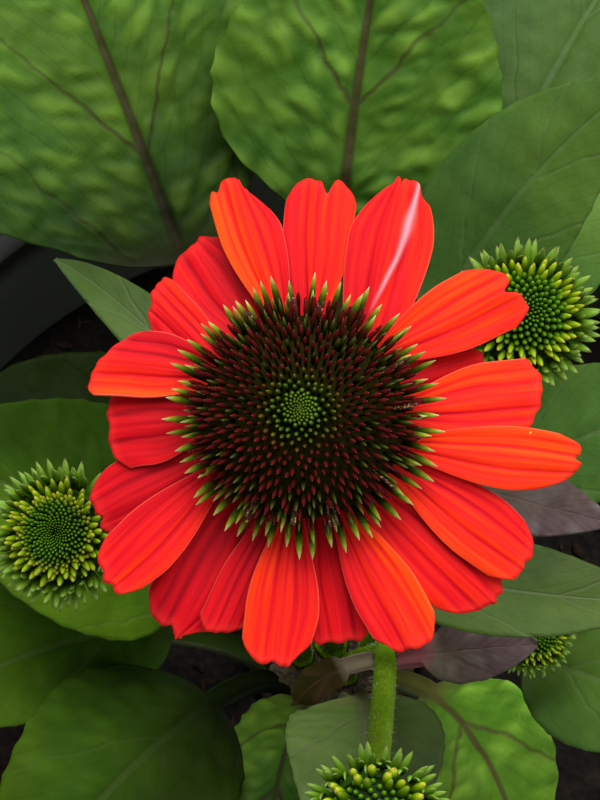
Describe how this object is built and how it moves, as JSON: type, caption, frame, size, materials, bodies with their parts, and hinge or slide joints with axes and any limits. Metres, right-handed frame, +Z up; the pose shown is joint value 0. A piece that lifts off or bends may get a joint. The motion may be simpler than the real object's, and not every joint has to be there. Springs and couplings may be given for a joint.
{
  "type": "potted coneflower plant",
  "caption": "Living coneflower in a round plastic nursery pot: an open orange-red flower with a spiny dome, green flower buds, and stalked leaves round a crown.",
  "frame": {"origin": "centre of the pot's flat underside", "axes": "+Z up through the crown; the flower head leans towards -Y, and the tallest leaves stand at +Y"},
  "size_m": [0.258, 0.2834, 0.4546],
  "materials": {
    "petal_red": "satin",
    "cone_dark": "matte",
    "stem_green": "satin",
    "bract_green": "matte",
    "bud_green": "matte",
    "leaf_green": "satin",
    "leaf_bronze": "satin",
    "crown_brown": "matte",
    "potting_mix": "matte",
    "pot_black": "satin"
  },
  "bodies": {
    "root": {"nursery_pot": "pot_black", "potting_mix": "potting_mix", "crown": "crown_brown", "flower_stem": "stem_green", "involucre": "bract_green", "cone": "cone_dark", "petal_01": "petal_red", "petal_02": "petal_red", "petal_03": "petal_red", "petal_04": "petal_red", "petal_05": "petal_red", "petal_06": "petal_red", "petal_07": "petal_red", "petal_08": "petal_red", "petal_09": "petal_red", "petal_10": "petal_red", "petal_11": "petal_red", "petal_12": "petal_red", "petal_13": "petal_red", "petal_14": "petal_red", "petal_15": "petal_red", "petal_16": "petal_red", "petal_17": "petal_red", "petal_18": "petal_red", "petal_19": "petal_red", "petal_20": "petal_red", "bud_stem_left": "stem_green", "bud_cup_left": "bract_green", "bud_disc_left": "bud_green", "bud_stem_back_right": "stem_green", "bud_cup_back_right": "bract_green", "bud_disc_back_right": "bud_green", "bud_stem_front_right": "stem_green", "bud_cup_front_right": "bract_green", "bud_disc_front_right": "bud_green", "bud_stem_front": "stem_green", "bud_cup_front": "bract_green", "bud_disc_front": "bud_green", "leaf_back_left": "leaf_green", "leaf_back": "leaf_green", "leaf_back_right": "leaf_green", "leaf_right_high": "leaf_green", "leaf_right_back": "leaf_green", "leaf_right": "leaf_green", "leaf_right_front": "leaf_green", "leaf_front_right": "leaf_green", "leaf_front": "leaf_green", "leaf_front_low": "leaf_green", "leaf_front_left": "leaf_green", "leaf_left_high": "leaf_green", "leaf_left_low": "leaf_green", "leaf_left_back": "leaf_green", "leaf_stem_left": "leaf_green", "leaf_stem_right": "leaf_green", "leaf_bronze_back": "leaf_bronze", "leaf_bronze_right": "leaf_bronze", "leaf_bronze_left": "leaf_bronze"}
  },
  "joints": []
}
